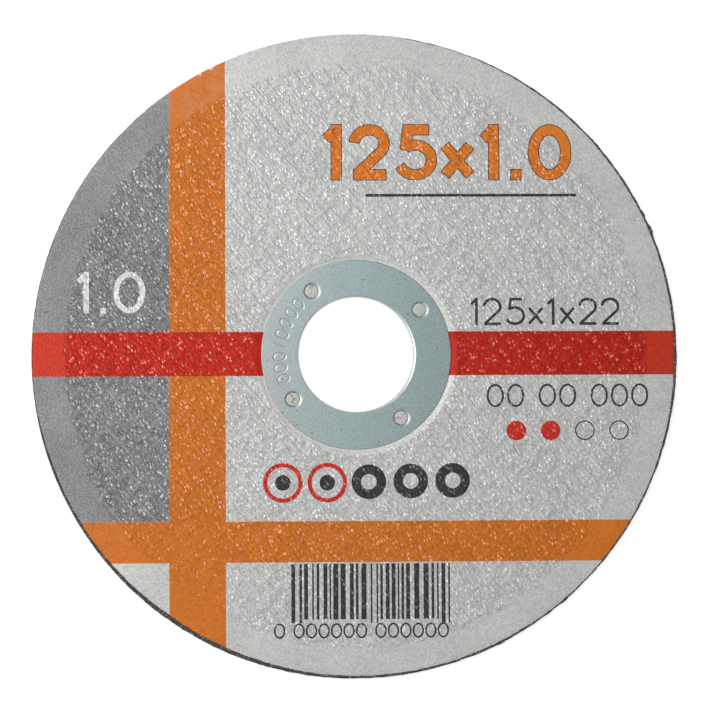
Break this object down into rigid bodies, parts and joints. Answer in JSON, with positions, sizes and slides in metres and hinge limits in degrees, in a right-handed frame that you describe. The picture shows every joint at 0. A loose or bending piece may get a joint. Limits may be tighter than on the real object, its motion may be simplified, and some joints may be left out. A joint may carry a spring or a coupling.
{
  "type": "cut-off wheel",
  "caption": "Thin flat resin-bonded cut-off wheel for an angle grinder, with glass mesh on both faces, a colour-banded paper label and a pressed-steel ring around the arbor bore.",
  "frame": {"origin": "centre of the arbor bore on the back face, which is the plane that the wheel rests on", "axes": "+Z along the bore, out of the label; +Y towards the top of the label's print, +X to its right"},
  "size_m": [0.125, 0.125, 0.001],
  "materials": {
    "abrasive": "dark resin-bonded abrasive grain, matt, with small glints",
    "glass_mesh": "resin-soaked glass-fibre yarn, half matt",
    "label_paper": "silvery grey printed paper with orange, red and dark grey fields, satin, pressed over the mesh",
    "ring_steel": "tin-plated steel sheet, bluish grey, finely brushed, satin"
  },
  "bodies": {
    "root": {"abrasive_disc": "abrasive", "front_mesh": "glass_mesh", "back_mesh": "glass_mesh", "label": "label_paper", "centre_ring": "ring_steel"}
  },
  "joints": []
}
